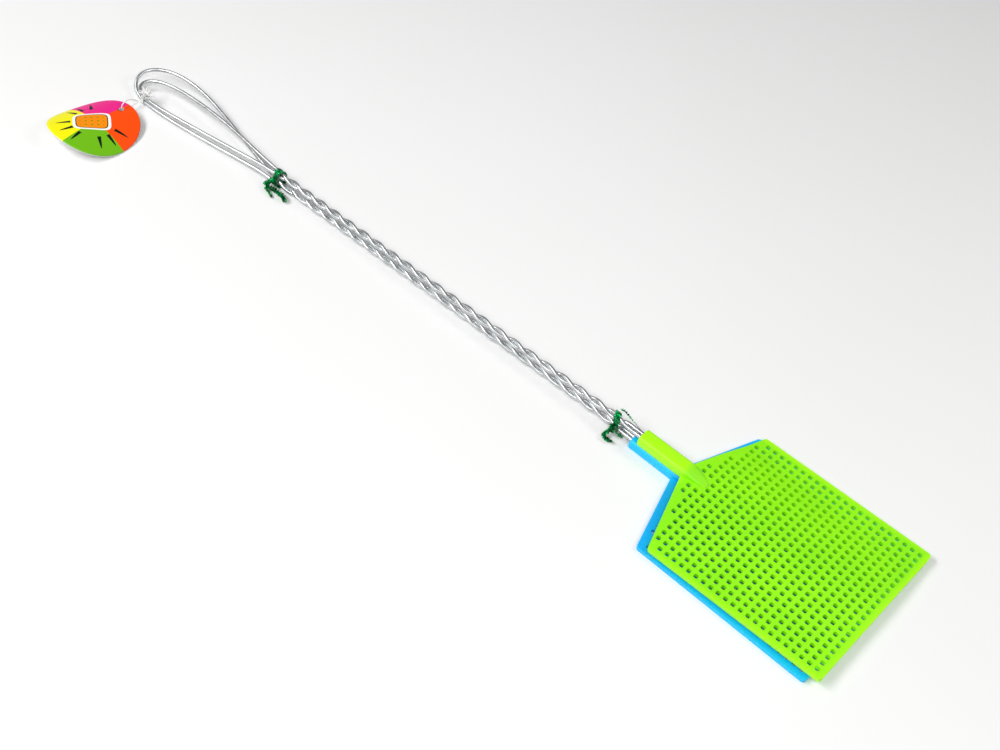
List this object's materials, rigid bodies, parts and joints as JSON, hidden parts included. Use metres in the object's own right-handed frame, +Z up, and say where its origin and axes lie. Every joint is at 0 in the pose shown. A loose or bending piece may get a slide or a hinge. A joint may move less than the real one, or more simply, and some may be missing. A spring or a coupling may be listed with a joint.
{
  "type": "fly swatter",
  "caption": "Wire-handled fly swatters with square perforated plastic blades, laid one on the other and bound with foil twist ties, with a round card tag on a thread.",
  "frame": {"origin": "centre of the lower blade's square mesh, on its flat underside", "axes": "+X along the lower handle towards the blade's far edge, +Y to the left seen from the handle, +Z up out of the rest face"},
  "size_m": [0.498, 0.1134, 0.0113],
  "materials": {
    "lower_plastic": "satin moulded polyethylene",
    "upper_plastic": "satin moulded polyethylene",
    "galvanised_wire": "bright galvanised",
    "green_foil": "crumpled metallic foil",
    "tie_steel": "soft drawn",
    "printed_card": "gloss printed on the face, plain white back",
    "white_thread": "twisted cotton"
  },
  "bodies": {
    "lower_swatter": {"lower_blade": "lower_plastic", "lower_wire_twist": "galvanised_wire", "lower_wire_loop_near": "galvanised_wire", "lower_wire_bend_near": "galvanised_wire", "lower_wire_bend_far": "galvanised_wire", "lower_wire_loop_far": "galvanised_wire", "tag_hitch": "white_thread"},
    "upper_swatter": {"upper_blade": "upper_plastic", "upper_wire_twist": "galvanised_wire", "upper_wire_loop_near": "galvanised_wire", "upper_wire_bend_near": "galvanised_wire", "upper_wire_bend_far": "galvanised_wire", "upper_wire_loop_far": "galvanised_wire"},
    "blade_tie": {"blade_tie_foil": "green_foil", "blade_tie_core": "tie_steel"},
    "loop_tie": {"loop_tie_foil": "green_foil", "loop_tie_core": "tie_steel"},
    "thread": {"tag_thread": "white_thread"},
    "card": {"tag_card": "printed_card"}
  },
  "joints": [
    {"name": "upper_swatter_slip", "type": "slide", "parent": "lower_swatter", "child": "upper_swatter", "axis": [1, 0, 0], "range_m": [0, 0.0015]},
    {"name": "blade_tie_slip", "type": "slide", "parent": "lower_swatter", "child": "blade_tie", "axis": [-1, 0, 0], "range_m": [0, 0.008]},
    {"name": "loop_tie_slip", "type": "slide", "parent": "lower_swatter", "child": "loop_tie", "axis": [1, 0, 0], "range_m": [0, 0.006]},
    {"name": "tag_swing", "type": "hinge", "parent": "lower_swatter", "child": "thread", "pos_m": [-0.4256, -0.0099, 0.003], "axis": [-1, 0, 0], "range_deg": [-60, 50]},
    {"name": "tag_swivel", "type": "hinge", "parent": "thread", "child": "card", "pos_m": [-0.4228, -0.0226, 0.0063], "axis": [0, 0, 1], "range_deg": [-25, 25]}
  ]
}
